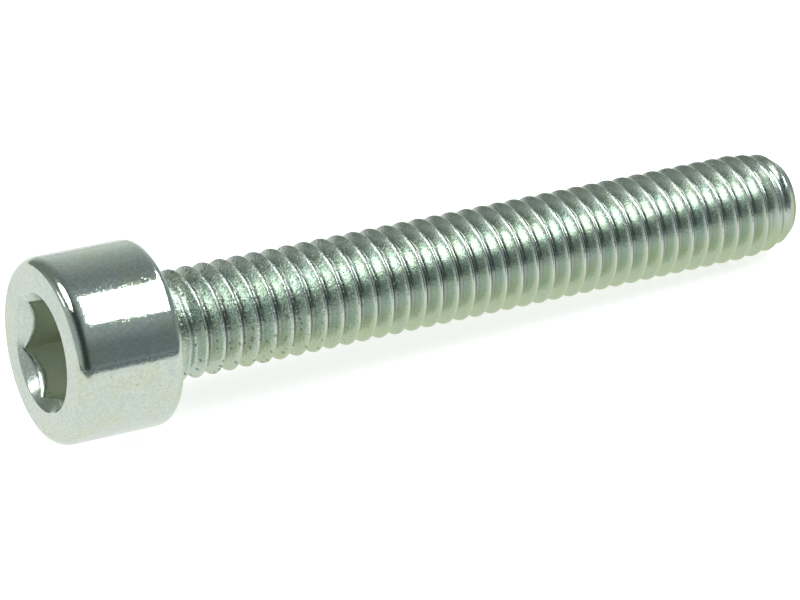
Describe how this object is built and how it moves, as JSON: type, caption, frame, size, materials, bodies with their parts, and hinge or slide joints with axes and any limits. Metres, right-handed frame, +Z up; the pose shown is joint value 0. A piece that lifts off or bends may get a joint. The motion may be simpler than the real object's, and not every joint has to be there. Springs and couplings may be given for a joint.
{
  "type": "hexagon socket head cap screw",
  "caption": "Zinc plated cap screw with a cylindrical head, a hexagon socket and a thread over its whole shank, lying at rest.",
  "frame": {"origin": "on the surface that the screw lies on, under the middle of its length and width", "axes": "+X runs along the screw from its head to its tip, +Z is up; the screw's own axis dips 3.07 degrees below +X towards the tip"},
  "size_m": [0.0458, 0.0098, 0.0101],
  "materials": {
    "zinc_steel": "bright zinc plate with a faint yellow-green passivation"
  },
  "bodies": {
    "root": {"cap_screw": "zinc_steel"}
  },
  "joints": []
}
